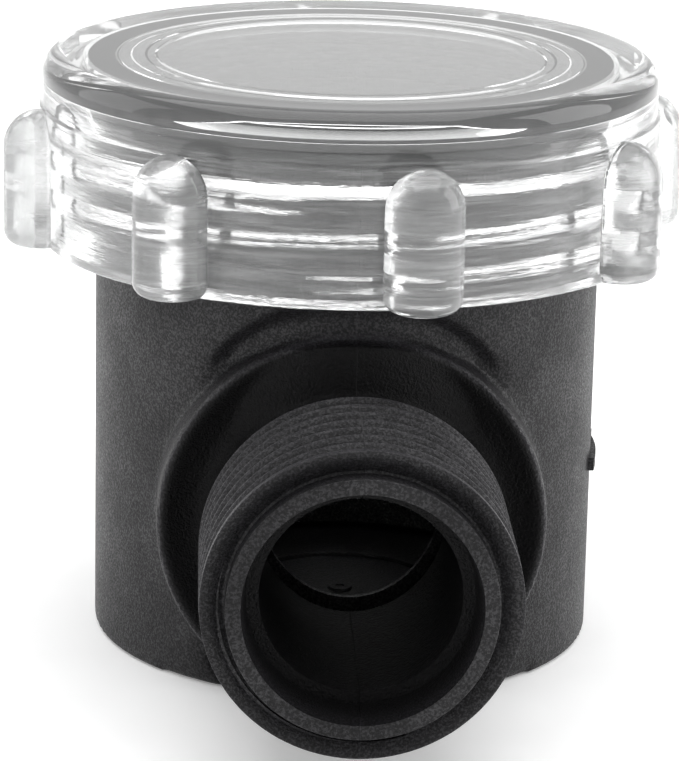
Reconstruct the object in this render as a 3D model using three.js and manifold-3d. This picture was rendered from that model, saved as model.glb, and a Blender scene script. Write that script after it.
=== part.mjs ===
// Basket strainer: a moulded bowl with an inlet and an outlet spigot in line, a removable basket
// inside it, and a clear screw lid with grip lugs that presses a ring gasket onto the bowl's rim.
//
// Millimetres. +Z is up, the origin is the centre of the bowl's flat base, and liquid flows from
// the inlet at -Y to the outlet at +Y.

import * as THREE from 'three';
import { mergeVertices } from 'three/addons/utils/BufferGeometryUtils.js';
import Module from 'manifold-3d';

const wasm = await Module();
wasm.setup();

// Driving dimensions -------------------------------------------------------------------------------

const CLEARANCE = 0.3; // left between pieces that touch
const BEYOND = 1; // how far a cutting shape runs past the face it cuts
const TURN = 2 * Math.PI;
const ROUND_SEGMENTS = 40; // facets around a full turn of the large rings
const SPIGOT_SEGMENTS = 20; // and of the spigots, their bores and their pipe threads
const LUG_SEGMENTS = 12;
const WINDOW_SEGMENTS = 32;

const bowl = { radius: 14.25, neckRadius: 14.15, wall: 1.5, floor: 0.8, edge: 0.4 };
const rim = { radius: 14.65, seatRadius: 13.65, seat: 28.7, top: 29.95, foot: 28.5, slope: 0.45 };

// Three eighths of an inch parallel pipe thread: 16.66 mm over the crests, 19 threads to the inch.
const spigot = {
  height: 9.94,
  face: 27.1,
  crestRadius: 8.33,
  rootRadius: 7.48,
  pitch: 25.4 / 19,
  threadStart: 16.6,
  threadEnd: 25.7,
  bandStart: 26,
  bandEnd: 26.4,
  neckRadius: 7.3,
  noseRadius: 6.97,
  noseLength: 0.6,
  rooted: 10, // from here outwards it is solid, inside the bowl's wall
};
const pipeThread = { start: 16.08, turns: 7.3, base: 1.22, crest: 0.3, bury: 0.25, runOut: 0.3, lead: 0.3 };
const mouth = { radius: 6.17, innerRadius: 5.87, depth: 2.4 };
const bore = { radius: 5.22, start: 7.5 };
const boss = { radius: 10.59, face: 13.55, edge: 0.45, fillet: 1.2 };
const arrow = { length: 6.5, shaft: 0.75, head: 1.6, headLength: 2.1, raised: 0.3 };

// The coarse thread between the bowl's neck and the lid.
const coarse = { pitch: 2.1, baseWidth: 1.15, crestWidth: 0.5, runOut: 0.12, bury: 0.3, root: 0.2 };
const neckThread = { crestRadius: 15.5, bottom: 23.65, turns: 1.9 };
const lidThread = { crestRadius: 15.1, startAngle: -117, turns: 2.1 };

const lid = {
  radius: 17.36,
  skirtBottom: 22.9,
  shoulder: 30.5,
  step: 0.12,
  discRadius: 17.2,
  top: 33.3,
  discEdge: 1.1,
  skirtEdge: 0.3,
  threadRoot: 15.9,
  entry: 0.4,
  collarRadius: 14.95,
  collarFoot: 29.2,
  underside: 31.4,
  windowRadius: 10.8,
  windowDepth: 0.3,
};
const lug = { count: 8, radius: 2.11, reach: 19.54, angle: -79.3, bottomEdge: 0.8 };

const gasket = { innerRadius: 13.15, outerRadius: 14.65, edge: 0.25 };

const screen = { innerRadius: 10.8, outerRadius: 11.15, windowRadius: 5 };
const collar = {
  radius: 13.35,
  top: 29.85,
  steps: 3,
  stepHeight: 0.35,
  stepWidth: 0.9,
  lip: 10.75,
  skirt: 2.2,
  skirtWall: 0.5,
};
const basketFloor = {
  thickness: 0.5,
  cupHeight: 1.9,
  cupWall: 0.5,
  ringRadius: 5.85,
  ringHalf: 0.3,
  ringHeight: 0.25,
};

// Colours and finishes -----------------------------------------------------------------------------

const blackPlastic = () => new THREE.MeshStandardMaterial({ color: 0x2b2a2c, roughness: 0.62, metalness: 0 });
const clearPlastic = () => new THREE.MeshStandardMaterial({
  color: 0xe4e8ea,
  roughness: 0.06,
  metalness: 0,
  transparent: true,
  opacity: 0.35,
});
const blackRubber = () => new THREE.MeshStandardMaterial({ color: 0x1d1e20, roughness: 0.8, metalness: 0 });
const basketPlastic = () => new THREE.MeshStandardMaterial({ color: 0x343437, roughness: 0.5, metalness: 0 });

// Shapes and solids --------------------------------------------------------------------------------

// Turns an outline of [radius, height] points, drawn anticlockwise, about the Z axis.
function lathe(outline, segments = ROUND_SEGMENTS) {
  const points = outline.map(([radius, height]) => new THREE.Vector2(radius, height));
  return new THREE.LatheGeometry(points, segments).rotateX(Math.PI / 2);
}

// A ring of [radius, height] points that closes on itself, turned about the Z axis.
function latheRing(outline, segments = ROUND_SEGMENTS) {
  return lathe([...outline, outline[0]], segments);
}

// Points along a round corner, from one angle to another in degrees.
function corner(centreRadius, centreHeight, radius, from, to, steps) {
  return Array.from({ length: steps + 1 }, (_, i) => {
    const angle = THREE.MathUtils.degToRad(from + ((to - from) * i) / steps);
    return [centreRadius + radius * Math.cos(angle), centreHeight + radius * Math.sin(angle)];
  });
}

// A closed geometry as a solid that can be joined and cut.
function solid(geometry) {
  const bare = geometry.clone();
  bare.deleteAttribute('normal');
  bare.deleteAttribute('uv');
  const merged = mergeVertices(bare, 1e-4);
  const corners = Array.from(merged.index.array);
  const triangles = [];
  for (let i = 0; i < corners.length; i += 3) {
    const [a, b, c] = corners.slice(i, i + 3);
    if (a !== b && b !== c && c !== a) triangles.push(a, b, c);
  }
  return new wasm.Manifold(new wasm.Mesh({
    numProp: 3,
    vertProperties: Float32Array.from(merged.attributes.position.array),
    triVerts: Uint32Array.from(triangles),
  }));
}

// A named mesh with the shape of a solid.
function piece(name, shape, material) {
  const { vertProperties, triVerts } = shape.getMesh();
  const geometry = new THREE.BufferGeometry();
  geometry.setAttribute('position', new THREE.BufferAttribute(vertProperties, 3));
  geometry.setIndex(new THREE.BufferAttribute(triVerts, 1));
  geometry.computeVertexNormals();
  const mesh = new THREE.Mesh(geometry, material);
  mesh.name = name;
  return mesh;
}

// A right-hand helical ridge about the Z axis. The section's x runs up the axis and its y outwards
// from `radius`. `bury` is the y at which the ridge runs out into its wall at both ends.
function helicalRidge({ section, radius, bottom, pitch, turns, segmentsPerTurn, runOut, bury }) {
  const thinnest = 0.05; // share of the ridge's depth left at its very ends
  const shape = new THREE.Shape(section.map(([x, y]) => new THREE.Vector2(x, y)));
  const steps = Math.ceil(turns * segmentsPerTurn);
  const ridge = new THREE.ExtrudeGeometry(shape, { depth: 1, steps, bevelEnabled: false });
  const position = ridge.attributes.position;
  for (let i = 0; i < position.count; i += 1) {
    const along = position.getZ(i);
    const fade = Math.min(1, (Math.min(along, 1 - along) * turns) / runOut);
    const outward = radius + bury + (position.getY(i) - bury) * Math.max(fade, thinnest);
    const angle = TURN * turns * along;
    const height = bottom + pitch * turns * along + position.getX(i);
    position.setXYZ(i, outward * Math.cos(angle), outward * Math.sin(angle), height);
  }
  return ridge;
}

// The trapezoid section of the coarse thread, from its buried base to its crest.
function coarseSection(base, crest) {
  const { baseWidth, crestWidth } = coarse;
  return [[-baseWidth / 2, base], [baseWidth / 2, base], [crestWidth / 2, crest], [-crestWidth / 2, crest]];
}

// Bowl ---------------------------------------------------------------------------------------------

function bowlOutside() {
  const { radius, neckRadius, edge } = bowl;
  return solid(lathe([
    [0, 0],
    [radius - edge, 0],
    [radius, edge],
    [neckRadius, rim.foot],
    [rim.radius, rim.foot + rim.slope],
    [rim.radius, rim.top],
    [0, rim.top],
  ]));
}

// The chamber, with the wider seat at its top that the basket's collar rests on.
function chamber() {
  const radius = bowl.radius - bowl.wall;
  const above = rim.top + BEYOND;
  return solid(lathe([
    [0, bowl.floor],
    [radius, bowl.floor],
    [radius, rim.seat],
    [rim.seatRadius, rim.seat],
    [rim.seatRadius, above],
    [0, above],
  ]));
}

// Boss, neck and nose of one spigot, along +Z from the bowl's axis.
function spigotOutside() {
  const { rooted, neckRadius, rootRadius, crestRadius, threadStart, threadEnd } = spigot;
  const { bandStart, bandEnd, noseRadius, noseLength, face } = spigot;
  const filletCentre = boss.face + boss.fillet;
  return solid(lathe([
    [0, rooted],
    [boss.radius, rooted],
    ...corner(boss.radius - boss.edge, boss.face - boss.edge, boss.edge, 0, 90, 2),
    ...corner(neckRadius + boss.fillet, filletCentre, boss.fillet, -90, -180, 3),
    [neckRadius, threadStart],
    [rootRadius, threadStart + pipeThread.lead],
    [rootRadius, threadEnd],
    [crestRadius, bandStart],
    [crestRadius, bandEnd],
    [noseRadius, face - noseLength],
    [noseRadius, face],
    [0, face],
  ], SPIGOT_SEGMENTS));
}

function spigotThread() {
  const { crestRadius, rootRadius, pitch } = spigot;
  const { start, turns, base, crest, bury, runOut } = pipeThread;
  const depth = crestRadius - rootRadius;
  return solid(helicalRidge({
    section: [[-base / 2, -bury], [base / 2, -bury], [crest / 2, depth], [-crest / 2, depth]],
    radius: rootRadius,
    bottom: start,
    pitch,
    turns,
    segmentsPerTurn: SPIGOT_SEGMENTS,
    runOut,
    bury: -0.75 * bury,
  }));
}

// The way through one spigot: the straight bore and the wider, slightly tapered mouth.
function spigotHollow() {
  const step = spigot.face - mouth.depth;
  const beyond = spigot.face + BEYOND;
  return solid(lathe([
    [0, bore.start],
    [bore.radius, bore.start],
    [bore.radius, step],
    [mouth.innerRadius, step],
    [mouth.radius, spigot.face],
    [mouth.radius, beyond],
    [0, beyond],
  ], SPIGOT_SEGMENTS));
}

// Moves a shape built along +Z to a spigot's axis; the turn is 0 for the outlet, 180 for the inlet.
function alongSpigot(shape, turn) {
  return shape.rotate([-90, 0, 0]).rotate([0, 0, turn]).translate([0, 0, spigot.height]);
}

// A raised arrow that points along the flow, on the bowl's +X side at the spigots' height.
function flowArrow() {
  const { length, shaft, head, headLength, raised } = arrow;
  const tip = length / 2;
  const outline = [
    [-tip, -shaft / 2],
    [tip - headLength, -shaft / 2],
    [tip - headLength, -head / 2],
    [tip, 0],
    [tip - headLength, head / 2],
    [tip - headLength, shaft / 2],
    [-tip, shaft / 2],
  ];
  const shape = new THREE.Shape(outline.map(([along, up]) => new THREE.Vector2(along, up)));
  const block = new THREE.ExtrudeGeometry(shape, { depth: bowl.wall + raised, bevelEnabled: false });
  block.rotateX(Math.PI / 2).rotateZ(Math.PI / 2);
  block.translate(bowl.radius - bowl.wall / 2, 0, spigot.height);
  const outer = bowl.radius + raised;
  const surface = new THREE.CylinderGeometry(outer, outer, 2 * head, ROUND_SEGMENTS);
  surface.rotateX(Math.PI / 2).translate(0, 0, spigot.height);
  return solid(block).intersect(solid(surface));
}

function neckRidge() {
  const { bury, root, pitch, runOut } = coarse;
  return solid(helicalRidge({
    section: coarseSection(-bury - root, neckThread.crestRadius - bowl.neckRadius),
    radius: bowl.neckRadius,
    bottom: neckThread.bottom,
    pitch,
    turns: neckThread.turns,
    segmentsPerTurn: ROUND_SEGMENTS,
    runOut,
    bury: -bury,
  }));
}

function strainerBody() {
  let shape = bowlOutside();
  for (const turn of [0, 180]) {
    shape = shape.add(alongSpigot(spigotOutside(), turn)).add(alongSpigot(spigotThread(), turn));
  }
  shape = shape.add(flowArrow()).add(neckRidge());
  const wide = 4 * bowl.radius;
  const belowBase = new THREE.BoxGeometry(wide, wide, bowl.radius).translate(0, 0, -bowl.radius / 2);
  shape = shape.subtract(solid(belowBase)).subtract(chamber());
  for (const turn of [0, 180]) shape = shape.subtract(alongSpigot(spigotHollow(), turn));
  return piece('strainer_body', shape, blackPlastic());
}

// Lid ----------------------------------------------------------------------------------------------

function lidOutside() {
  const { radius, skirtBottom, skirtEdge, shoulder, step, discRadius, top, discEdge } = lid;
  return solid(lathe([
    [0, skirtBottom],
    ...corner(radius - skirtEdge, skirtBottom + skirtEdge, skirtEdge, -90, 0, 2),
    [radius, shoulder - step],
    [discRadius, shoulder],
    ...corner(discRadius - discEdge, top - discEdge, discEdge, 0, 90, 5),
    [0, top],
  ]));
}

// The hollow under the lid: threaded skirt, gasket space and the thinner window in the middle.
function lidHollow() {
  const { skirtBottom, threadRoot, entry, collarFoot, collarRadius, underside } = lid;
  const { windowRadius, windowDepth } = lid;
  return solid(lathe([
    [0, skirtBottom - BEYOND],
    [threadRoot + entry, skirtBottom - BEYOND],
    [threadRoot + entry, skirtBottom],
    [threadRoot, skirtBottom + entry],
    [threadRoot, collarFoot - (threadRoot - collarRadius) / 2],
    [collarRadius, collarFoot],
    [collarRadius, underside],
    [windowRadius, underside],
    [windowRadius, underside + windowDepth],
    [0, underside + windowDepth],
  ]));
}

// The inner thread, half a pitch away from the neck's, so the two ridges lie between each other.
function lidRidge() {
  const { bury, root, pitch, runOut } = coarse;
  const { crestRadius, startAngle, turns } = lidThread;
  return solid(helicalRidge({
    section: coarseSection(bury + root, crestRadius - lid.threadRoot).reverse(),
    radius: lid.threadRoot,
    bottom: neckThread.bottom + pitch * (0.5 + startAngle / 360),
    pitch,
    turns,
    segmentsPerTurn: ROUND_SEGMENTS,
    runOut,
    bury,
  })).rotate([0, 0, startAngle]);
}

// One grip lug: a round upright bar with a domed top, sunk most of the way into the skirt.
function lidLug() {
  const { radius, reach, bottomEdge } = lug;
  const nearTop = 72; // degrees up the dome of its last ring
  return solid(lathe([
    [0, lid.skirtBottom],
    ...corner(radius - bottomEdge, lid.skirtBottom + bottomEdge, bottomEdge, -90, 0, 2),
    ...corner(0, lid.shoulder - radius, radius, 0, nearTop, 4),
    [0, lid.shoulder],
  ], LUG_SEGMENTS).translate(reach - radius, 0, 0));
}

function screwLid() {
  let shape = lidOutside();
  for (let i = 0; i < lug.count; i += 1) {
    shape = shape.add(lidLug().rotate([0, 0, lug.angle + (360 * i) / lug.count]));
  }
  shape = shape.subtract(lidHollow()).add(lidRidge());
  return piece('screw_lid', shape, clearPlastic());
}

// Gasket -------------------------------------------------------------------------------------------

function lidGasket() {
  const { innerRadius, outerRadius, edge } = gasket;
  const bottom = rim.top + CLEARANCE;
  const top = lid.underside - CLEARANCE;
  const ring = latheRing([
    [innerRadius, top - edge],
    [innerRadius, bottom + edge],
    [innerRadius + edge, bottom],
    [outerRadius - edge, bottom],
    [outerRadius, bottom + edge],
    [outerRadius, top - edge],
    [outerRadius - edge, top],
    [innerRadius + edge, top],
  ]);
  return piece('lid_gasket', solid(ring), blackRubber());
}

// Basket -------------------------------------------------------------------------------------------

// The moulded collar that hangs the basket on the bowl's seat, with a stepped funnel at its top.
function basketCollar() {
  const { radius, top, steps, stepHeight, stepWidth, lip, skirt, skirtWall } = collar;
  const under = rim.seat + CLEARANCE;
  const sleeve = screen.outerRadius + CLEARANCE;
  const skirtOutside = sleeve + skirtWall;
  const stairs = [];
  for (let i = 1; i < steps; i += 1) {
    stairs.push([radius - stepWidth * i, top - stepHeight * (i - 1)]);
    stairs.push([radius - stepWidth * i, top - stepHeight * i]);
  }
  const ring = latheRing([
    [lip, under - CLEARANCE],
    [sleeve, under - CLEARANCE],
    [sleeve, under - skirt],
    [skirtOutside, under - skirt],
    [skirtOutside, under],
    [radius, under],
    [radius, top],
    ...stairs,
    [lip, top - stepHeight * (steps - 1)],
  ]);
  return piece('basket_collar', solid(ring), basketPlastic());
}

// The sleeve of fine mesh, with a round window that lines up with the inlet.
function basketScreen() {
  const { innerRadius, outerRadius, windowRadius } = screen;
  const bottom = bowl.floor + CLEARANCE + basketFloor.thickness + CLEARANCE;
  const top = rim.seat - CLEARANCE;
  const sleeve = solid(latheRing([
    [innerRadius, top],
    [innerRadius, bottom],
    [outerRadius, bottom],
    [outerRadius, top],
  ]));
  const window = new THREE.CylinderGeometry(windowRadius, windowRadius, outerRadius, WINDOW_SEGMENTS);
  window.translate(0, -outerRadius, spigot.height);
  return piece('basket_screen', sleeve.subtract(solid(window)), basketPlastic());
}

// The moulded end cap that the screen stands in, with a low ring on its floor.
function basketFloorCap() {
  const { thickness, cupHeight, cupWall, ringRadius, ringHalf, ringHeight } = basketFloor;
  const bottom = bowl.floor + CLEARANCE;
  const top = bottom + thickness;
  const cupInside = screen.outerRadius + CLEARANCE;
  const cap = lathe([
    [0, bottom],
    [cupInside + cupWall, bottom],
    [cupInside + cupWall, top + cupHeight],
    [cupInside, top + cupHeight],
    [cupInside, top],
    [ringRadius + ringHalf, top],
    [ringRadius, top + ringHeight],
    [ringRadius - ringHalf, top],
    [0, top],
  ]);
  return piece('basket_floor', solid(cap), basketPlastic());
}

// Assembly -----------------------------------------------------------------------------------------

const strainer = new THREE.Group();
strainer.add(
  strainerBody(),
  screwLid(),
  lidGasket(),
  basketCollar(),
  basketScreen(),
  basketFloorCap(),
);

export default strainer;
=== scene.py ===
import math

import bmesh
import bpy
from mathutils import Matrix, Vector


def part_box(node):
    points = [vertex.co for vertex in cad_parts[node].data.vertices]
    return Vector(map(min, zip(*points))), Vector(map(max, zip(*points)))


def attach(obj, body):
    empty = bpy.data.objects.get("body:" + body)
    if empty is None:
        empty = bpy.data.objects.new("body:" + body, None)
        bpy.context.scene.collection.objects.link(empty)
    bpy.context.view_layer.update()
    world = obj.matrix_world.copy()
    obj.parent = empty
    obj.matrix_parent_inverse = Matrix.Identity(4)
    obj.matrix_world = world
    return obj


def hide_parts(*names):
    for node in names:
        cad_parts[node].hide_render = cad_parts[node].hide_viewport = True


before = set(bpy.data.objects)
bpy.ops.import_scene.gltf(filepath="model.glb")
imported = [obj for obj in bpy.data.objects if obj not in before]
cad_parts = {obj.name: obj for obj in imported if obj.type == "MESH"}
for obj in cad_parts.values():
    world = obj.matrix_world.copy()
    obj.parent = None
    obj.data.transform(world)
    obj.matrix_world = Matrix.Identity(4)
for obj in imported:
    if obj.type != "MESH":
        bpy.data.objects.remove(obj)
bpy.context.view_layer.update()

# The bowl ---------------------------------------------------------------------------------------
# One moulding of black glass-filled plastic: a round pot with a flat base, two bosses in line
# that stand in shallow grooves, and a neck with a coarse thread and a rim for the gasket.

MM = 0.001
ABOUT_Z = Vector((0, 0, 1))
body_low, body_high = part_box("strainer_body")
RIM_TOP = body_high.z / MM
SPIGOT_FACE = body_high.y / MM
BOWL_RADIUS = 14.25
NECK_RADIUS = 14.15
CHAMBER_RADIUS = 12.75
WALL_RADIUS = 13.35
SPIGOT_HEIGHT = 9.94
BOSS_RADIUS = 10.59
PIPE_NECK = 7.3
BORE_RADIUS = 5.22
BOWL_FLOOR = 0.8
SEAT_HEIGHT = 28.7
SEAT_RADIUS = 13.65
RIM_RADIUS = 14.65
COARSE_PITCH = 2.1
NECK_THREAD_BOTTOM = 23.65
FILLET_VOXEL = 0.22


def turned(outline, around, closed=False, soft=()):
    """A solid turned about Z from (radius, height) points. soft lists the (radius, height, width)
    of the ring edges that are rounded."""
    work = bmesh.new()
    points = [work.verts.new((radius, 0, height)) for radius, height in outline]
    pairs = list(zip(points, points[1:])) + ([(points[-1], points[0])] if closed else [])
    edges = [work.edges.new(pair) for pair in pairs]
    bmesh.ops.spin(work, geom=points + edges, cent=(0, 0, 0), axis=ABOUT_Z, angle=math.tau,
                   steps=around, use_merge=True)
    bmesh.ops.remove_doubles(work, verts=work.verts, dist=0.0005)
    bmesh.ops.recalc_face_normals(work, faces=work.faces)
    for radius, height, width in soft:
        ring = [e for e in work.edges
                if all(abs(v.co.z - height) < 0.002 and abs(v.co.xy.length - radius) < 0.002
                       for v in e.verts)]
        bmesh.ops.bevel(work, geom=ring, offset=width, offset_type="OFFSET", segments=4,
                        profile=0.5, affect="EDGES", clamp_overlap=True, material=-1)
    return work


def ridge(section, start_angle, bottom, pitch, turns, around, run_out):
    """A right-hand screw ridge about Z. section lists (radius, height) points, root first and
    last, and the ridge sinks to its root radius over run_out turns at both ends."""
    work = bmesh.new()
    corners = [work.verts.new((radius, 0, height)) for radius, height in section]
    face = work.faces.new(corners)
    steps = round(turns * around)
    bmesh.ops.spin(work, geom=[face] + list(face.edges) + corners, cent=(0, 0, 0), axis=ABOUT_Z,
                   dvec=(0, 0, pitch / around), angle=math.tau * steps / around, steps=steps)
    root = section[0][0]
    for vert in work.verts:
        radius = vert.co.xy.length
        angle = math.atan2(vert.co.y, vert.co.x) / math.tau
        along = round(vert.co.z / pitch - angle) + angle
        fade = min(1, max(0.04, min(along, turns - along) / run_out))
        wanted = root + (radius - root) * fade
        vert.co.x *= wanted / radius
        vert.co.y *= wanted / radius
    bmesh.ops.rotate(work, verts=work.verts, cent=(0, 0, 0),
                     matrix=Matrix.Rotation(math.radians(start_angle), 3, "Z"))
    bmesh.ops.translate(work, verts=work.verts, vec=(0, 0, bottom))
    bmesh.ops.recalc_face_normals(work, faces=work.faces)
    return work


def laid_along(work, turn, height=SPIGOT_HEIGHT):
    """Lays a shape made about Z along the pipe: turn is 0 for the outlet, 180 for the inlet."""
    place = (Matrix.Translation((0, 0, height)) @ Matrix.Rotation(math.radians(turn), 4, "Z")
             @ Matrix.Rotation(math.radians(-90), 4, "X"))
    bmesh.ops.transform(work, verts=work.verts, matrix=place)
    return work


def blank(name, work):
    """A mesh object from a bmesh, still in millimetres."""
    mesh = bpy.data.meshes.new(name)
    work.to_mesh(mesh)
    work.free()
    part = bpy.data.objects.new(name, mesh)
    bpy.context.scene.collection.objects.link(part)
    return part


def worked(part, *steps):
    """Takes a part through joins ("UNION") and cuts ("DIFFERENCE", "INTERSECT") with others."""
    for way, tool in steps:
        join = part.modifiers.new(way.lower(), "BOOLEAN")
        join.operation, join.object, join.solver = way, tool, "MANIFOLD"
    settled(part)
    for _, tool in steps:
        bpy.data.objects.remove(tool)
    return part


def settled(part):
    """Takes the part's modifiers into its mesh."""
    graph = bpy.context.evaluated_depsgraph_get()
    part.data = bpy.data.meshes.new_from_object(part.evaluated_get(graph))
    part.modifiers.clear()
    return part


def moulded(part, material, crease=32):
    """Brings a finished part to metres, shades it smooth up to its sharp edges and paints it."""
    part.data.transform(Matrix.Scale(MM, 4))
    work = bmesh.new()
    work.from_mesh(part.data)
    for face in work.faces:
        face.smooth = True
    for edge in work.edges:
        edge.smooth = edge.calc_face_angle(0) < math.radians(crease)
    work.to_mesh(part.data)
    work.free()
    part.data.materials.clear()
    part.data.materials.append(material)
    return part


class Socket:
    """A shader value or vector that ordinary arithmetic works on."""

    def __init__(self, tree, link):
        self.tree, self.link = tree, link

    def node(self, kind, settings=None, output=0, **inputs):
        """Adds a node: settings first, then the values or links of its named inputs."""
        made = self.tree.nodes.new(kind)
        for key, value in (settings or {}).items():
            setattr(made, key, value)
        for name, value in inputs.items():
            numbered = name[1:].isdigit()
            slot = made.inputs[int(name[1:]) if numbered else name.replace("_", " ")]
            if isinstance(value, Socket):
                self.tree.links.new(value.link, slot)
            else:
                slot.default_value = value
        return Socket(self.tree, made.outputs[output])

    def _maths(self, way, other=0.0, turned_round=False):
        pair = (other, self) if turned_round else (self, other)
        return self.node("ShaderNodeMath", {"operation": way}, i0=pair[0], i1=pair[1])

    def __add__(self, other):
        return self._maths("ADD", other)

    def __radd__(self, other):
        return self._maths("ADD", other, True)

    def __sub__(self, other):
        return self._maths("SUBTRACT", other)

    def __rsub__(self, other):
        return self._maths("SUBTRACT", other, True)

    def __mul__(self, other):
        return self._maths("MULTIPLY", other)

    def __rmul__(self, other):
        return self._maths("MULTIPLY", other, True)

    def __truediv__(self, other):
        return self._maths("DIVIDE", other)

    def __abs__(self):
        return self._maths("ABSOLUTE")

    def between(self, low, high):
        """0 below low, 1 above high, smooth in between."""
        return self.node("ShaderNodeMapRange", {"interpolation_type": "SMOOTHSTEP"}, i0=self,
                         i1=low, i2=high, i3=0.0, i4=1.0)


def finish_of(name, **settings):
    """A new material, its Principled shader with the given settings, and object coordinates."""
    material = bpy.data.materials.new(name)
    material.use_nodes = True
    tree = material.node_tree
    shader = tree.nodes["Principled BSDF"]
    for key, value in settings.items():
        shader.inputs[key.replace("_", " ")].default_value = value
    spot = Socket(tree, tree.nodes.new("ShaderNodeTexCoord").outputs["Object"])
    return material, shader, spot


def feed(shader, **links):
    """Links shader values to the shader's named inputs."""
    for name, value in links.items():
        value.tree.links.new(value.link, shader.inputs[name.replace("_", " ")])


def grain(spot, size, detail=2.0, rough=0.6):
    """Even speckle, size in millimetres."""
    return spot.node("ShaderNodeTexNoise", Vector=spot, Scale=1 / (size * MM), Detail=detail,
                     Roughness=rough)


def black_plastic(name, spigots, shade=1.0, pale=(0.026, 0.0247, 0.0287, 1)):
    """Glass-filled black plastic: a spark-eroded grain, pale fibre specks and a cloudy sheen."""
    material, shader, spot = finish_of(name, Roughness=0.5, Specular_IOR_Level=0.18,
                                       Coat_Roughness=0.36, Coat_IOR=1.5)
    fine = grain(spot, 0.13)
    coarse = grain(spot, 0.28, 3.0)
    cloud = grain(spot, 5.0, 3.0)
    specks = spot.node("ShaderNodeTexVoronoi", {"feature": "F1"}, Vector=spot,
                       Scale=1 / (0.5 * MM), Randomness=1.0)
    speck = 1 - specks.between(0.06, 0.16)
    fibre = speck * grain(spot, 1.1).between(0.57, 0.64)
    height = fine + coarse * 0.8 + fibre * 0.3
    tone = (fine.between(0.45, 0.62) * 0.45 + coarse.between(0.42, 0.66) * 0.2
            + cloud.between(0.3, 0.7) * 0.12 + fibre * 1.6)
    tone = tone * shade
    shine = (0.15 + fine.between(0.45, 0.62) * 0.36) * shade
    if spigots:
        # Painted shade darkens the dished boss faces and the bores; painted highlights lighten the
        # thread crests and the boss rims.
        across = spot.node("ShaderNodeSeparateXYZ", Vector=spot)
        along = abs(spot.node("ShaderNodeSeparateXYZ", output=1, Vector=spot)) / MM
        round_axis = spot.node("ShaderNodeVectorMath", {"operation": "DISTANCE"}, output=1,
                               i0=spot.node("ShaderNodeVectorMath", {"operation": "MULTIPLY"},
                                            i0=spot, i1=(1, 0, 1)),
                               i1=(0, 0, SPIGOT_HEIGHT * MM)) / MM
        line = 1 - abs(across).between(0.02 * MM, 0.055 * MM)
        # Painted highlights: the thread crests and the boss rims are painted paler.
        crest_painted_highlight = round_axis.between(8.1, 8.3) * along.between(15, 16)
        rim_painted_highlight = (round_axis.between(10.3, 10.5) * (1 - round_axis.between(10.6, 10.75))
               * along.between(13.2, 13.4))
        # Painted shade: the dished boss faces and the bores get darker colour and less coat, by
        # position.
        dish_painted_shade = ((1 - round_axis.between(10.15, 10.4)) * along.between(11.8, 12.4)
                * (1 - along.between(14.6, 16.2)))
        bore_painted_shade = (1 - round_axis.between(5.95, 6.15)) * along.between(5, 6)
        painted_shade_factor = 1 - (dish_painted_shade * 0.95 + bore_painted_shade)
        height = height + line * 1.2
        tone = (tone + line * 0.5 + crest_painted_highlight * 0.5 + rim_painted_highlight * 0.6) * painted_shade_factor
        shine = shine * painted_shade_factor * (0.7 + cloud.between(0.35, 0.65) * 0.6)
    colour = spot.node("ShaderNodeMix", {"data_type": "RGBA"}, output=2, i0=tone,
                       i6=(0.004, 0.0038, 0.0042, 1), i7=pale)
    bump = spot.node("ShaderNodeBump", Strength=1.0, Distance=0.11 * MM, Height=height)
    feed(shader, Base_Color=colour, Roughness=0.42 + coarse * 0.2 + cloud * 0.06, Coat_Weight=shine,
         Normal=bump)
    return material


bowl_plastic = black_plastic("bowl_plastic", spigots=True)

pot = blank("bowl", turned([(0, 0), (BOWL_RADIUS, 0), (BOWL_RADIUS - 0.04, 24), (0, 24)], 200,
                           soft=[(BOWL_RADIUS, 0, 0.3)]))
boss_steps = []
for turn in (0, 180):
    groove = turned([(10.3, 12.2), (10.75, 11.65), (11.15, 11.45), (11.5, 11.6), (11.85, 12.05),
                     (12.3, 13.1), (12.75, 14.4), (13.1, 15.8), (10.3, 15.8)], 160, closed=True)
    boss = turned([(0, 6), (BOSS_RADIUS, 6), (BOSS_RADIUS, 13.55), (10.1, 13.5), (9.3, 12.95),
                   (8.5, 12.6), (7.8, 12.75), (7.42, 13.4), (PIPE_NECK, 14.2), (PIPE_NECK, 17.4),
                   (0, 17.4)],
                  160, soft=[(BOSS_RADIUS, 13.55, 0.3)])
    wall = turned([(0, -2), (WALL_RADIUS, -2), (WALL_RADIUS, 32), (0, 32)], 200)
    groove = worked(blank("groove", laid_along(groove, turn)), ("DIFFERENCE", blank("wall", wall)))
    boss_steps += [("DIFFERENCE", groove),
                   ("UNION", blank("boss", laid_along(boss, turn)))]
worked(pot, *boss_steps)
skin = pot.modifiers.new("skin", "REMESH")
skin.mode, skin.voxel_size, skin.use_smooth_shade = "VOXEL", FILLET_VOXEL, True
settled(pot)

soften = bmesh.new()
soften.from_mesh(pot.data)


def near_groove(spot):
    """The groove round a boss and the edge it makes with the bowl."""
    reach = math.hypot(spot.x, spot.z - SPIGOT_HEIGHT)
    return abs(spot.y) > 8.4 and 11.15 < reach < 14.2


for repeats, chosen in ((3, lambda spot: spot.z > 0.6), (16, near_groove)):
    picked = [v for v in soften.verts if chosen(v.co)]
    for _ in range(repeats):
        bmesh.ops.smooth_vert(soften, verts=picked, factor=0.5, use_axis_x=True, use_axis_y=True,
                              use_axis_z=True)
soften.to_mesh(pot.data)
soften.free()

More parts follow.
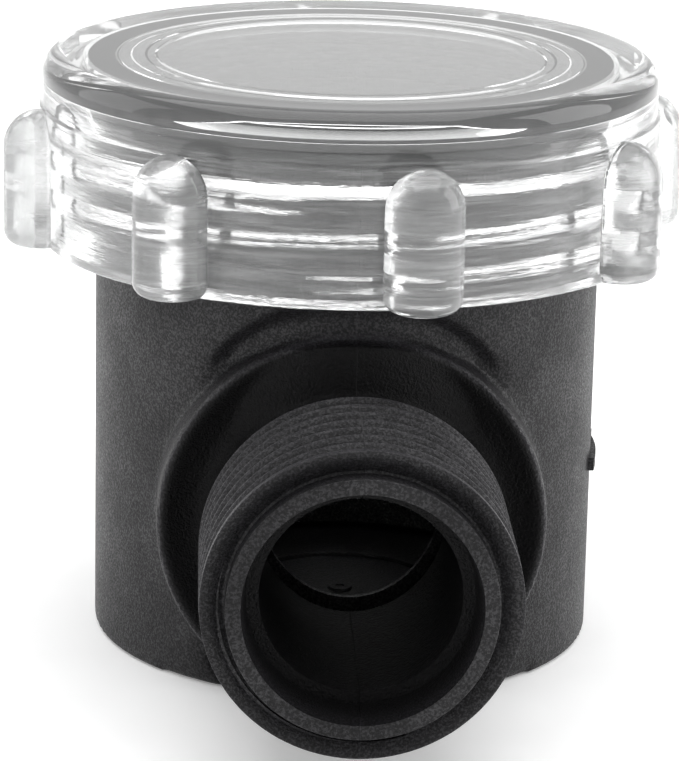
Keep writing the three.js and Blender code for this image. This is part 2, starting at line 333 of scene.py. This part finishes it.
neck = turned([(0, 23.6), (NECK_RADIUS + 0.02, 23.6), (NECK_RADIUS, 28.5), (RIM_RADIUS, 28.95),
               (RIM_RADIUS, RIM_TOP), (0, RIM_TOP)], 160, soft=[(RIM_RADIUS, RIM_TOP, 0.12)])
neck_ridge = ridge([(13.7, -0.62), (14.05, -0.56), (15.36, -0.24), (15.5, -0.1), (15.5, 0.1),
                    (15.36, 0.24), (14.05, 0.56), (13.7, 0.62)],
                   0, NECK_THREAD_BOTTOM, COARSE_PITCH, 1.9, 120, 0.12)
chamber = turned([(0, BOWL_FLOOR), (CHAMBER_RADIUS, BOWL_FLOOR), (CHAMBER_RADIUS, SEAT_HEIGHT),
                  (SEAT_RADIUS, SEAT_HEIGHT), (SEAT_RADIUS, 31), (0, 31)], 160,
                 soft=[(CHAMBER_RADIUS, BOWL_FLOOR, 0.4)])
level_base = bmesh.new()
bmesh.ops.create_cube(level_base, size=60)
bmesh.ops.translate(level_base, verts=level_base.verts, vec=(0, 0, -30))
trunk = [("UNION", blank("neck", neck)), ("UNION", blank("neck_ridge", neck_ridge)),
         ("DIFFERENCE", blank("level_base", level_base))]

# The flow arrow stands 0.3 mm proud of the bowl's side and points to the outlet.
ARROW_RADIUS = BOWL_RADIUS + 0.3
ARROW_HEIGHT = SPIGOT_HEIGHT + 0.3
arrow = bmesh.new()
tip, head_back, head_half, shaft_half = 3.25, 1.15, 0.8, 0.37
corners = [(-tip, -shaft_half), (head_back, -shaft_half), (head_back, -head_half), (tip, 0),
           (head_back, head_half), (head_back, shaft_half), (-tip, shaft_half)]
sole = arrow.faces.new([arrow.verts.new((13.4, y, ARROW_HEIGHT + z)) for y, z in corners])
raised = bmesh.ops.extrude_face_region(arrow, geom=[sole])
bmesh.ops.translate(arrow, vec=(2, 0, 0),
                    verts=[v for v in raised["geom"] if isinstance(v, bmesh.types.BMVert)])
bmesh.ops.recalc_face_normals(arrow, faces=arrow.faces)
arrow_face = turned([(0, 6), (ARROW_RADIUS, 6), (ARROW_RADIUS, 14), (0, 14)], 200)
flow_arrow = worked(blank("flow_arrow", arrow), ("INTERSECT", blank("arrow_face", arrow_face)))
trunk.append(("UNION", flow_arrow))

# The spigots --------------------------------------------------------------------------------------
# The inlet and the outlet are moulded on the bosses: a pipe thread of 19 turns to the inch, a flat
# end, and a thinner nose that enters the washer of the union nut. The mouth is a little wider.

PIPE_PITCH = 25.4 / 19
PIPE_ROOT = 7.5
PIPE_CREST = 8.3
THREAD_START = 16.08
THREAD_END = 26.42
NOSE_RADIUS = 6.97
MOUTH_RADIUS = 6.17
MOUTH_INNER = 5.87
MOUTH_FOOT = SPIGOT_FACE - 2.4

for turn in (0, 180):
    barrel = turned([(0, 15), (PIPE_NECK - 0.1, 15), (PIPE_NECK - 0.1, 16.3), (PIPE_ROOT, 16.6),
                     (PIPE_ROOT, 25.7), (PIPE_CREST - 0.04, 26), (PIPE_CREST - 0.04, THREAD_END),
                     (7.8, THREAD_END - 0.12), (7.35, THREAD_END - 0.4),
                     (7.1, THREAD_END - 0.48), (NOSE_RADIUS, THREAD_END - 0.4),
                     (NOSE_RADIUS, SPIGOT_FACE), (0, SPIGOT_FACE)], 120,
                    soft=[(PIPE_CREST - 0.04, THREAD_END, 0.05), (NOSE_RADIUS, SPIGOT_FACE, 0.08)])
    half = PIPE_PITCH / 2
    pipe_ridge = ridge([(PIPE_ROOT - 0.2, -half + 0.03), (PIPE_ROOT, -half + 0.08),
                        (PIPE_CREST - 0.03, -0.08), (PIPE_CREST, -0.04), (PIPE_CREST, 0.04),
                        (PIPE_CREST - 0.03, 0.08), (PIPE_ROOT, half - 0.08),
                        (PIPE_ROOT - 0.2, half - 0.03)],
                       0, THREAD_START, PIPE_PITCH, 7.3, 96, 0.25)
    way_through = turned([(0, 7), (BORE_RADIUS, 7), (BORE_RADIUS, MOUTH_FOOT),
                          (MOUTH_INNER, MOUTH_FOOT),
                          (MOUTH_RADIUS, SPIGOT_FACE), (MOUTH_RADIUS, 28), (0, 28)], 120)
    trunk += [("UNION", blank("barrel", laid_along(barrel, turn))),
              ("UNION", blank("pipe_ridge", laid_along(pipe_ridge, turn))),
              ("DIFFERENCE", blank("way_through", laid_along(way_through, turn)))]
worked(pot, *trunk, ("DIFFERENCE", blank("chamber", chamber)))
moulded(pot, bowl_plastic, crease=28)
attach(pot, "housing")
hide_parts("strainer_body")

# The basket ---------------------------------------------------------------------------------------
# A black moulded strainer that lifts out: a stepped collar that rests on the bowl's seat, a thin
# sleeve of fine brick-pattern openings with a round inlet window, and an end cap with a low ring.

basket_plastic = black_plastic("basket_plastic", spigots=False, shade=0.3)

collar = turned([(10.75, 28.7), (11.45, 28.7), (11.45, 26.8), (11.95, 26.8), (11.95, 29),
                 (13.35, 29), (13.35, 29.85), (12.45, 29.85), (12.45, 29.5), (11.55, 29.5),
                 (11.55, 29.15), (10.75, 29.15)], 160, closed=True,
                soft=[(13.35, 29.85, 0.08), (12.45, 29.85, 0.08), (11.55, 29.5, 0.08),
                      (10.75, 29.15, 0.08)])
collar = moulded(blank("basket_collar", collar), basket_plastic)
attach(collar, "basket")
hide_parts("basket_collar")

MESH_RADIUS = 11.1
MESH_BOTTOM = 2.0
MESH_ROWS = 32
MESH_ROW = 0.82
CELLS_AROUND = 60
BAR = 0.085
SLEEVE_WALL = 0.3
PLAIN_FOOT = 3.6
PLAIN_HEAD = 26.8

sleeve = bmesh.new()
foot = sleeve.verts.new((MESH_RADIUS, 0, MESH_BOTTOM))
rungs = [foot] + [sleeve.verts.new((MESH_RADIUS, 0, MESH_BOTTOM + MESH_ROW * row))
                  for row in range(1, MESH_ROWS + 1)]
upright = [sleeve.edges.new(pair) for pair in zip(rungs, rungs[1:])]
bmesh.ops.spin(sleeve, geom=rungs + upright, cent=(0, 0, 0), axis=ABOUT_Z, angle=math.tau,
               steps=2 * CELLS_AROUND, use_merge=True)
half_cell = math.pi / CELLS_AROUND
staggered = []
for edge in sleeve.edges:
    low, high = sorted(edge.verts, key=lambda v: v.co.z)
    if high.co.z - low.co.z > MESH_ROW / 2:
        row = round((low.co.z - MESH_BOTTOM) / MESH_ROW)
        column = round(math.atan2(low.co.y, low.co.x) / half_cell)
        if (row + column) % 2:
            staggered.append(edge)
bmesh.ops.dissolve_edges(sleeve, edges=staggered, use_verts=False)
bmesh.ops.recalc_face_normals(sleeve, faces=sleeve.faces)
cells = [face for face in sleeve.faces
         if PLAIN_FOOT < face.calc_center_median().z < PLAIN_HEAD]
bmesh.ops.inset_individual(sleeve, faces=cells, thickness=BAR, use_even_offset=True)
bmesh.ops.delete(sleeve, geom=cells, context="FACES")
bmesh.ops.solidify(sleeve, geom=sleeve.faces, thickness=SLEEVE_WALL)
bmesh.ops.recalc_face_normals(sleeve, faces=sleeve.faces)

# The inlet window has a plain frame, and the rest of the sleeve is all openings.
frame_tube = turned([(4.95, 8), (7.2, 8), (7.2, 12), (4.95, 12)], 72, closed=True)
frame_shell = turned([(10.78, 2.4), (11.15, 2.4), (11.15, 17.4), (10.78, 17.4)], 160, closed=True)
window_frame = worked(blank("window_frame", laid_along(frame_tube, 180)),
                      ("INTERSECT", blank("frame_shell", frame_shell)))
window = turned([(0, 8), (4.98, 8), (4.98, 13), (0, 13)], 72)
screen = worked(blank("basket_screen", sleeve), ("UNION", window_frame),
                ("DIFFERENCE", blank("window", laid_along(window, 180))))
screen_plastic = black_plastic("screen_plastic", spigots=False, pale=(0.1, 0.1, 0.102, 1))
moulded(screen, screen_plastic, crease=25)
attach(screen, "basket")
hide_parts("basket_screen")

cap = turned([(0, 1.1), (11.95, 1.1), (11.95, 3.5), (11.45, 3.5), (11.45, 1.55), (6.1, 1.55),
              (6.0, 1.75), (5.7, 1.75), (5.6, 1.55), (0.75, 1.55), (0.65, 1.68), (0.3, 1.68),
              (0.25, 1.6), (0, 1.6)], 128,
             soft=[(11.95, 1.1, 0.2), (11.95, 3.5, 0.1), (6.0, 1.75, 0.06), (5.7, 1.75, 0.06)])
cap = moulded(blank("basket_floor", cap), basket_plastic)
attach(cap, "basket")
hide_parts("basket_floor")

# The gasket ---------------------------------------------------------------------------------------
# A ring of black rubber, squeezed between the bowl's rim and the lid. It sticks to the lid and
# comes away with it.

rubber, rubber_shader, spot = finish_of("gasket_rubber", Roughness=0.6, Specular_IOR_Level=0.4)
bloom = grain(spot, 1.6, 3.0).between(0.35, 0.75)
feed(rubber_shader,
     Base_Color=spot.node("ShaderNodeMix", {"data_type": "RGBA"}, output=2, i0=bloom,
                          i6=(0.013, 0.013, 0.014, 1), i7=(0.026, 0.026, 0.028, 1)),
     Roughness=0.5 + bloom * 0.2,
     Normal=spot.node("ShaderNodeBump", Strength=0.4, Distance=0.02 * MM,
                      Height=grain(spot, 0.25)))
LID_UNDERSIDE = 31.4
GASKET_INNER = 13.15
GASKET_TOP = LID_UNDERSIDE + 0.02
ring = turned([(GASKET_INNER, RIM_TOP), (RIM_RADIUS, RIM_TOP), (RIM_RADIUS, GASKET_TOP),
               (GASKET_INNER, GASKET_TOP)], 160, closed=True,
              soft=[(GASKET_INNER, RIM_TOP, 0.25), (RIM_RADIUS, RIM_TOP, 0.2)])
ring = moulded(blank("lid_gasket", ring), rubber)
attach(ring, "seal")
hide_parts("lid_gasket")

# The lid ------------------------------------------------------------------------------------------
# A thick clear plastic lid with a rounded top edge. Eight upright lugs with domed heads give the
# hand its grip, and a coarse thread inside the skirt draws the lid down onto the gasket.

lid_low, lid_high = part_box("screw_lid")
SKIRT_BOTTOM = lid_low.z / MM
LID_TOP = lid_high.z / MM
SKIRT_RADIUS = 17.36
DISC_RADIUS = 17.2
EDGE_ROUNDING = 1.1
SHOULDER = 30.5
THREAD_ROOT = 15.9
LUG_RADIUS = 2.11
LUG_AXIS = 17.43
LUG_COUNT = 8
FIRST_LUG = -79.3
THREAD_START_ANGLE = -117

clear, clear_shader, spot = finish_of("clear_plastic", Roughness=0.02, IOR=1.585,
                                      Transmission_Weight=1.0)
clear_shader.inputs["Base Color"].default_value = (0.985, 0.99, 0.99, 1)
stretched = spot.node("ShaderNodeMapping", Vector=spot, Scale=(0.05, 0.05, 1.0))
flow_lines = spot.node("ShaderNodeTexNoise", Vector=stretched, Scale=1 / (0.2 * MM), Detail=3.0,
                       Roughness=0.6)
from_axis = spot.node("ShaderNodeVectorMath", {"operation": "LENGTH"}, output=1,
                      i0=spot.node("ShaderNodeVectorMath", {"operation": "MULTIPLY"}, i0=spot,
                                   i1=(1, 1, 0))) / MM
up_axis = spot.node("ShaderNodeSeparateXYZ", output=2, Vector=spot) / MM
in_skirt = from_axis.between(15.3, 15.8) * (1 - up_axis.between(30.7, 31.3))
in_lugs = from_axis.between(17.38, 17.6)
near_edge = from_axis.between(14.7, 15.6)
feed(clear_shader,
     Roughness=(0.012 + in_skirt * (0.015 + flow_lines.between(0.4, 0.8) * 0.06)
                + in_lugs * 0.03),
     Normal=spot.node("ShaderNodeBump", Strength=0.8, Distance=0.055 * MM,
                      Height=(flow_lines * in_skirt * (1 - in_lugs * 0.7)
                              + grain(spot, 3.5, 2.0) * 0.06)))

# Thick moulded walls are faintly milky with flow marks; the lugs are the thickest.
haze = (0.006 + near_edge * 0.045 + in_lugs * 0.09
        + in_skirt * flow_lines.between(0.42, 0.7) * 0.13)
milk = haze.node("ShaderNodeBsdfDiffuse", Color=(0.93, 0.94, 0.94, 1))
cloudy = haze.node("ShaderNodeMixShader", i0=haze,
                   i1=Socket(clear.node_tree, clear_shader.outputs["BSDF"]), i2=milk)
clear.node_tree.links.new(cloudy.link,
                          clear.node_tree.nodes["Material Output"].inputs["Surface"])

disc = turned([(0, SKIRT_BOTTOM), (SKIRT_RADIUS, SKIRT_BOTTOM), (SKIRT_RADIUS, SHOULDER - 0.15),
               (SKIRT_RADIUS - 0.12, SHOULDER), (DISC_RADIUS, SHOULDER + 0.1), (DISC_RADIUS, 32),
               (DISC_RADIUS, LID_TOP), (16, LID_TOP), (15.8, LID_TOP), (0, LID_TOP)], 256,
              soft=[(SKIRT_RADIUS, SKIRT_BOTTOM, 0.25), (DISC_RADIUS, LID_TOP, EDGE_ROUNDING)])
lid = blank("screw_lid", disc)
for index in range(LUG_COUNT):
    dome = [(LUG_RADIUS * math.cos(step * math.pi / 16),
             SHOULDER - LUG_RADIUS + LUG_RADIUS * math.sin(step * math.pi / 16))
            for step in range(9)]
    bar = turned([(0, SKIRT_BOTTOM), (LUG_RADIUS, SKIRT_BOTTOM)] + dome, 48,
                 soft=[(LUG_RADIUS, SKIRT_BOTTOM, 0.8)])
    angle = math.radians(FIRST_LUG + 360 * index / LUG_COUNT)
    bmesh.ops.translate(bar, verts=bar.verts,
                        vec=(LUG_AXIS * math.cos(angle), LUG_AXIS * math.sin(angle), 0))
    worked(lid, ("UNION", blank("lug", bar)))
hollow = turned([(0, 20), (THREAD_ROOT + 0.4, 20), (THREAD_ROOT + 0.4, SKIRT_BOTTOM),
                 (THREAD_ROOT, SKIRT_BOTTOM + 0.4), (THREAD_ROOT, SEAT_HEIGHT), (14.95, 29.2),
                 (14.95, LID_UNDERSIDE), (13.05, LID_UNDERSIDE), (12.95, LID_UNDERSIDE + 0.12),
                 (12.3, LID_UNDERSIDE + 0.12), (12.2, LID_UNDERSIDE + 0.22),
                 (11.5, LID_UNDERSIDE + 0.22), (11.35, LID_UNDERSIDE + 0.06),
                 (10.95, LID_UNDERSIDE + 0.06), (10.8, LID_UNDERSIDE + 0.3),
                 (0, LID_UNDERSIDE + 0.3)], 256)
lid_ridge = ridge([(16.15, -0.62), (15.85, -0.56), (15.24, -0.24), (15.1, -0.1), (15.1, 0.1),
                   (15.24, 0.24), (15.85, 0.56), (16.15, 0.62)],
                  THREAD_START_ANGLE,
                  NECK_THREAD_BOTTOM + COARSE_PITCH * (0.5 + THREAD_START_ANGLE / 360),
                  COARSE_PITCH, 2.1, 120, 0.12)
worked(lid, ("DIFFERENCE", blank("hollow", hollow)), ("UNION", blank("lid_ridge", lid_ridge)))
moulded(lid, clear, crease=35)
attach(lid, "lid")
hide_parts("screw_lid")

# The floor, the light and the camera --------------------------------------------------------------
# A plain pale floor, a white studio room and broad soft lights above, behind and at both sides.

floor_work = bmesh.new()
bmesh.ops.create_grid(floor_work, x_segments=2, y_segments=2, size=3)
floor_mesh = bpy.data.meshes.new("floor")
floor_work.to_mesh(floor_mesh)
floor_work.free()
floor = bpy.data.objects.new("floor", floor_mesh)
bpy.context.scene.collection.objects.link(floor)
paper, paper_shader, spot = finish_of("pale_paper", Roughness=0.9, Specular_IOR_Level=0.2,
                                     Emission_Color=(1, 1, 1, 1), Emission_Strength=0.16)
feed(paper_shader,
     Base_Color=spot.node("ShaderNodeMix", {"data_type": "RGBA"}, output=2,
                          i0=grain(spot, 4.0).between(0.3, 0.7), i6=(0.93, 0.93, 0.93, 1),
                          i7=(0.96, 0.96, 0.96, 1)))
floor_mesh.materials.append(paper)

world = bpy.data.worlds.new("studio")
world.use_nodes = True
bpy.context.scene.world = world
room = Socket(world.node_tree, world.node_tree.nodes.new("ShaderNodeTexCoord").outputs["Generated"])
facing = room.node("ShaderNodeSeparateXYZ", output=1, Vector=room)
glow = 0.24 + facing.between(-0.97, -0.45) * 0.74
backdrop = world.node_tree.nodes["Background"]
backdrop.inputs["Color"].default_value = (1, 1, 1, 1)
world.node_tree.links.new(glow.link, backdrop.inputs["Strength"])

scene = bpy.context.scene
scene.view_settings.view_transform = "Standard"


def softbox(name, spot, aim, width, height, power):
    """A rectangular soft light at spot, turned to face aim. Metres and watts."""
    lamp = bpy.data.lights.new(name, "AREA")
    lamp.shape, lamp.size, lamp.size_y, lamp.energy = "RECTANGLE", width, height, power
    box = bpy.data.objects.new(name, lamp)
    box.location = spot
    box.rotation_euler = (Vector(aim) - Vector(spot)).to_track_quat("-Z", "Y").to_euler()
    scene.collection.objects.link(box)


middle = (0, 0, 0.016)
softbox("top_light", (0, 0.05, 0.45), middle, 0.5, 0.5, 1.2)
softbox("left_light", (-0.45, 0.1, 0.2), middle, 0.3, 0.4, 0.4)
softbox("right_light", (0.45, 0.0, 0.2), middle, 0.3, 0.4, 0.8)

camera_data = bpy.data.cameras.new("camera")
camera_data.sensor_width = 36
camera_data.lens = 165.29
camera_data.clip_start, camera_data.clip_end = 0.01, 20
camera = bpy.data.objects.new("camera", camera_data)
eye = Vector((-0.0085772, -0.1922466, 0.0702618))
right = Vector((0.99909954, -0.03724952, 0.02031201))
up = Vector((-0.00905047, 0.28061319, 0.95977827))
ahead = Vector((0.04145109, 0.95909786, -0.28002339))
camera.matrix_world = Matrix.Translation(eye) @ Matrix((right, up, -ahead)).transposed().to_4x4()
scene.collection.objects.link(camera)
scene.camera = camera
